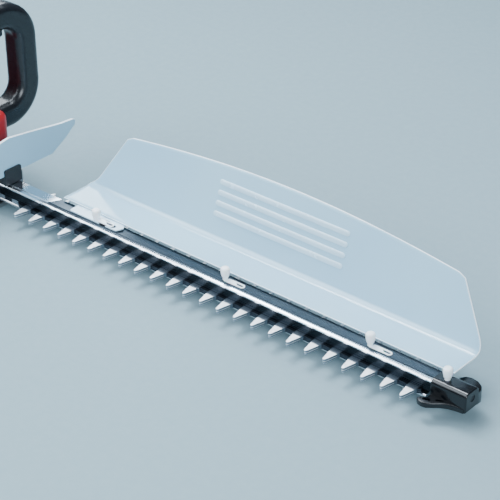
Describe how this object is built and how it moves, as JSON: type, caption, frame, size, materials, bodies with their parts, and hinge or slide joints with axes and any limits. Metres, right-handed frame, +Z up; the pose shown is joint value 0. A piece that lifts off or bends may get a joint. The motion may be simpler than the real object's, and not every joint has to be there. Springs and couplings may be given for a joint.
{
  "type": "hedge trimmer",
  "caption": "Corded hedge trimmer with double-sided reciprocating blades under a hollow rail, clip-on clippings collector, hand guard, bail and D handles.",
  "frame": {"origin": "on the resting plane, directly under the drive gear's axis", "axes": "+X along the blades to their tip, +Y the operator's left (collector side), +Z up"},
  "size_m": [0.921, 0.174, 0.193],
  "materials": {
    "rail_aluminium": "extruded, brushed along its length",
    "ground_steel": "ground and polished blade steel",
    "plain_steel": "zinc-plated or turned steel",
    "black_gloss": "glossy black moulding",
    "peg_plastic": "near-white moulding",
    "sheet_clear": "thin frosted translucent sheet",
    "holder_black": "fine-textured black moulding",
    "cast_alloy": "die-cast, dull grey",
    "sintered_bronze": "oil-filled bush",
    "felt": "pressed felt",
    "copper": "enamelled copper wire",
    "inner_plastic": "plain black inner moulding",
    "shell_red": "moulded, lightly textured",
    "handle_black": "smooth satin black moulding",
    "grip_rubber": "soft black over-moulding"
  },
  "bodies": {
    "machine": {"guide_rail": "rail_aluminium", "blade_support_bar": "plain_steel", "blade_bushes": "plain_steel", "blade_screws": "plain_steel", "blade_nuts": "plain_steel", "end_cap": "black_gloss", "end_cap_screw": "plain_steel", "collector_pegs": "peg_plastic", "hand_guard": "sheet_clear", "guard_holder": "holder_black", "guard_screws": "plain_steel", "gearbox_housing": "cast_alloy", "gearbox_bottom_cover": "cast_alloy", "gearbox_cover_screws": "plain_steel", "gear_lower_bush": "sintered_bronze", "gear_upper_bearing": "plain_steel", "felt_seal": "felt", "stator_core": "plain_steel", "field_coils": "copper", "brush_holders": "inner_plastic", "carbon_brushes": "inner_plastic", "motor_end_bracket": "inner_plastic", "motor_upper_bearing": "plain_steel", "motor_lower_bearing": "plain_steel", "housing_left": "shell_red", "housing_right": "shell_red", "housing_screws": "plain_steel", "rear_grip_pad": "grip_rubber", "trigger_pin": "plain_steel", "trigger_spring": "plain_steel", "main_switch": "inner_plastic", "lock_off_spring": "plain_steel", "cord_inlet": "handle_black", "suppression_capacitor": "inner_plastic", "front_handle_front": "handle_black", "front_handle_rear": "handle_black", "front_handle_screws": "plain_steel", "front_switch": "inner_plastic", "front_switch_springs": "plain_steel"},
    "gear_set": {"drive_gear": "plain_steel", "upper_eccentric": "plain_steel", "lower_eccentric": "plain_steel", "gear_shaft": "plain_steel"},
    "armature": {"motor_shaft": "plain_steel", "motor_pinion": "plain_steel", "armature_core": "plain_steel", "armature_windings": "copper", "commutator": "copper", "cooling_fan": "inner_plastic"},
    "blade_upper": {"upper_blade": "ground_steel"},
    "blade_lower": {"lower_blade": "ground_steel"},
    "collector": {"clippings_collector": "sheet_clear", "collector_pad": "sheet_clear"},
    "trigger": {"rear_trigger": "handle_black"},
    "button": {"lock_off_button": "handle_black"},
    "bar": {"front_switch_bar": "handle_black"}
  },
  "joints": [
    {"name": "drive_gear_spin", "type": "hinge", "parent": "machine", "child": "gear_set", "pos_m": [0, 0, 0.024], "axis": [0, 0, 1], "continuous": true},
    {"name": "motor_spin", "type": "hinge", "parent": "machine", "child": "armature", "pos_m": [-0.04, 0, 0.024], "axis": [0, 0, 1], "continuous": true},
    {"name": "upper_blade_slide", "type": "slide", "parent": "machine", "child": "blade_upper", "axis": [1, 0, 0], "range_m": [-0.005, 0.005]},
    {"name": "lower_blade_slide", "type": "slide", "parent": "machine", "child": "blade_lower", "axis": [1, 0, 0], "range_m": [-0.005, 0.005]},
    {"name": "collector_release", "type": "slide", "parent": "machine", "child": "collector", "axis": [-1, 0, 0], "range_m": [0, 0.011]},
    {"name": "trigger_press", "type": "hinge", "parent": "machine", "child": "trigger", "pos_m": [-0.15, 0, 0.124], "axis": [0, 1, 0], "range_deg": [0, 10], "stiffness_Nm_per_rad": 1.2, "springref_deg": -8.59},
    {"name": "lock_off_press", "type": "slide", "parent": "machine", "child": "button", "axis": [0, 0, -1], "range_m": [0, 0.003], "stiffness_N_per_m": 600, "springref_m": -0.002, "deforming": ["lock_off_spring"]},
    {"name": "front_bar_squeeze", "type": "slide", "parent": "machine", "child": "bar", "axis": [0, 0, 1], "range_m": [0, 0.004], "stiffness_N_per_m": 600, "springref_m": -0.003, "deforming": ["front_switch_springs"]}
  ],
  "couplings": [
    {"joint": "motor_spin", "follows": "drive_gear_spin", "ratio": -7},
    {"joint": "lower_blade_slide", "follows": "upper_blade_slide", "ratio": -1}
  ]
}
